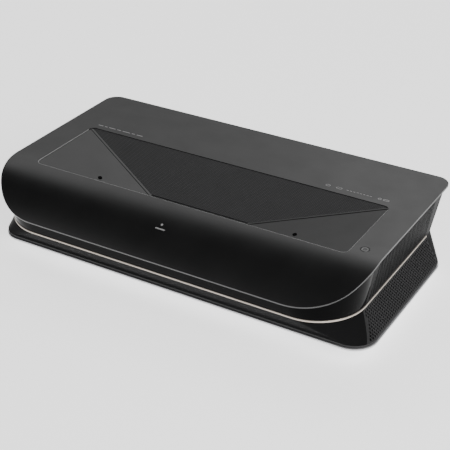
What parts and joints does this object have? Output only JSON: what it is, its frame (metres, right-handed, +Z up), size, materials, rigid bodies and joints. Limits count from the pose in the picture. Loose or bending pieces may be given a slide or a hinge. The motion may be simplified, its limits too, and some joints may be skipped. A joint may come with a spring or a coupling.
{
  "type": "home projector",
  "caption": "Low wide ultra-short-throw projector with a bent top cover, a three-sided light recess, perforated sides, screw feet, fans, speakers and internal optics.",
  "frame": {"origin": "on the floor, under the middle of the object", "axes": "+X to the right as seen from the front, +Y to the rear, towards the wall that it projects on, +Z up"},
  "size_m": [0.6, 0.3365, 0.138],
  "materials": {
    "cover": "fine satin charcoal paint",
    "gloss_black": "glossy black",
    "grille": "perforated satin black",
    "trim_metal": "polished champagne anodised",
    "base_steel": "plain sheet steel",
    "rear_plastic": "fine spark texture",
    "inner_plastic": "plain moulded",
    "mesh": "fine woven speaker mesh",
    "window_glass": "coated optical glass",
    "wheel_glass": "ground diffuser glass",
    "rubber": "matt rubber",
    "circuit_board": "solder resist",
    "aluminium": "die cast and machined",
    "mirror": "front coated",
    "brass": "turned",
    "socket_metal": "stamped shield"
  },
  "bodies": {
    "housing": {"top_cover": "cover", "recess_tray": "cover", "ramp_mesh": "mesh", "light_window": "window_glass", "button_board": "circuit_board", "upper_fascia": "gloss_black", "lower_fascia": "gloss_black", "trim_strip": "trim_metal", "rear_shell": "rear_plastic", "port_plate": "rear_plastic", "base_plate": "base_steel", "base_tray": "inner_plastic", "laser_module": "aluminium", "heat_sink": "aluminium", "optical_engine": "aluminium", "wheel_motor": "inner_plastic", "picture_board": "circuit_board", "lens_barrel": "inner_plastic", "focus_motor": "base_steel", "concave_mirror": "mirror", "mirror_bracket": "base_steel", "mainboard": "circuit_board", "processor_sink": "aluminium", "power_supply": "circuit_board", "remote_receiver": "window_glass", "eye_sensor_left": "window_glass", "upper_grille_left": "grille", "lower_grille_left": "grille", "fan_frame_left": "inner_plastic", "speaker_box_left": "inner_plastic", "eye_sensor_right": "window_glass", "upper_grille_right": "grille", "lower_grille_right": "grille", "fan_frame_right": "inner_plastic", "speaker_box_right": "inner_plastic", "power_inlet": "inner_plastic", "optical_socket": "inner_plastic", "audio_socket": "inner_plastic", "network_socket": "socket_metal", "usb_socket_1": "socket_metal", "usb_socket_2": "socket_metal", "hdmi_socket_1": "socket_metal", "hdmi_socket_2": "socket_metal", "hdmi_socket_3": "socket_metal"},
    "power_button": {"power_button": "cover"},
    "fan_rotor_left": {"fan_rotor_left": "inner_plastic"},
    "speaker_cone_left": {"speaker_cone_left": "rubber"},
    "fan_rotor_right": {"fan_rotor_right": "inner_plastic"},
    "speaker_cone_right": {"speaker_cone_right": "rubber"},
    "diffuser_wheel": {"diffuser_wheel": "wheel_glass"},
    "focus_ring": {"focus_ring": "inner_plastic"},
    "focus_pinion": {"focus_pinion": "brass"},
    "foot_pad_front_left": {"foot_pad_front_left": "rubber"},
    "foot_screw_front_left": {"foot_screw_front_left": "inner_plastic"},
    "foot_pad_front_right": {"foot_pad_front_right": "rubber"},
    "foot_screw_front_right": {"foot_screw_front_right": "inner_plastic"},
    "foot_pad_rear_left": {"foot_pad_rear_left": "rubber"},
    "foot_screw_rear_left": {"foot_screw_rear_left": "inner_plastic"},
    "foot_pad_rear_right": {"foot_pad_rear_right": "rubber"},
    "foot_screw_rear_right": {"foot_screw_rear_right": "inner_plastic"}
  },
  "joints": [
    {"name": "power_button_press", "type": "slide", "parent": "housing", "child": "power_button", "axis": [0, 0, -1], "range_m": [0, 0.0008], "stiffness_N_per_m": 900, "springref_m": -0.0004},
    {"name": "fan_spin_left", "type": "hinge", "parent": "housing", "child": "fan_rotor_left", "pos_m": [-0.2445, 0.078, 0.068], "axis": [1, 0, 0], "continuous": true},
    {"name": "speaker_cone_travel_left", "type": "slide", "parent": "housing", "child": "speaker_cone_left", "axis": [-1, 0, 0], "range_m": [-0.002, 0.002], "stiffness_N_per_m": 1500},
    {"name": "fan_spin_right", "type": "hinge", "parent": "housing", "child": "fan_rotor_right", "pos_m": [0.2445, 0.078, 0.068], "axis": [1, 0, 0], "continuous": true},
    {"name": "speaker_cone_travel_right", "type": "slide", "parent": "housing", "child": "speaker_cone_right", "axis": [1, 0, 0], "range_m": [-0.002, 0.002], "stiffness_N_per_m": 1500},
    {"name": "diffuser_wheel_spin", "type": "hinge", "parent": "housing", "child": "diffuser_wheel", "pos_m": [-0.06, -0.008, 0.06], "axis": [0, 1, 0], "continuous": true},
    {"name": "focus_turn", "type": "hinge", "parent": "housing", "child": "focus_ring", "pos_m": [0, -0.026, 0.062], "axis": [0, 1, 0], "range_deg": [-30, 30]},
    {"name": "focus_pinion_turn", "type": "hinge", "parent": "housing", "child": "focus_pinion", "pos_m": [0.0376, -0.026, 0.062], "axis": [0, 1, 0], "range_deg": [-180, 180]},
    {"name": "foot_height_front_left", "type": "slide", "parent": "housing", "child": "foot_pad_front_left", "axis": [0, 0, -1], "range_m": [0, 0.006]},
    {"name": "foot_turn_front_left", "type": "hinge", "parent": "foot_pad_front_left", "child": "foot_screw_front_left", "pos_m": [-0.232, -0.078, 0.009], "axis": [0, 0, -1], "range_deg": [0, 1080]},
    {"name": "foot_height_front_right", "type": "slide", "parent": "housing", "child": "foot_pad_front_right", "axis": [0, 0, -1], "range_m": [0, 0.006]},
    {"name": "foot_turn_front_right", "type": "hinge", "parent": "foot_pad_front_right", "child": "foot_screw_front_right", "pos_m": [0.232, -0.078, 0.009], "axis": [0, 0, -1], "range_deg": [0, 1080]},
    {"name": "foot_height_rear_left", "type": "slide", "parent": "housing", "child": "foot_pad_rear_left", "axis": [0, 0, -1], "range_m": [0, 0.006]},
    {"name": "foot_turn_rear_left", "type": "hinge", "parent": "foot_pad_rear_left", "child": "foot_screw_rear_left", "pos_m": [-0.232, 0.096, 0.009], "axis": [0, 0, -1], "range_deg": [0, 1080]},
    {"name": "foot_height_rear_right", "type": "slide", "parent": "housing", "child": "foot_pad_rear_right", "axis": [0, 0, -1], "range_m": [0, 0.006]},
    {"name": "foot_turn_rear_right", "type": "hinge", "parent": "foot_pad_rear_right", "child": "foot_screw_rear_right", "pos_m": [0.232, 0.096, 0.009], "axis": [0, 0, -1], "range_deg": [0, 1080]}
  ],
  "couplings": [
    {"joint": "focus_pinion_turn", "follows": "focus_turn", "ratio": -5},
    {"joint": "foot_turn_front_left", "follows": "foot_height_front_left", "rad_per_m": 3141.6},
    {"joint": "foot_turn_front_right", "follows": "foot_height_front_right", "rad_per_m": 3141.6},
    {"joint": "foot_turn_rear_left", "follows": "foot_height_rear_left", "rad_per_m": 3141.6},
    {"joint": "foot_turn_rear_right", "follows": "foot_height_rear_right", "rad_per_m": 3141.6}
  ]
}
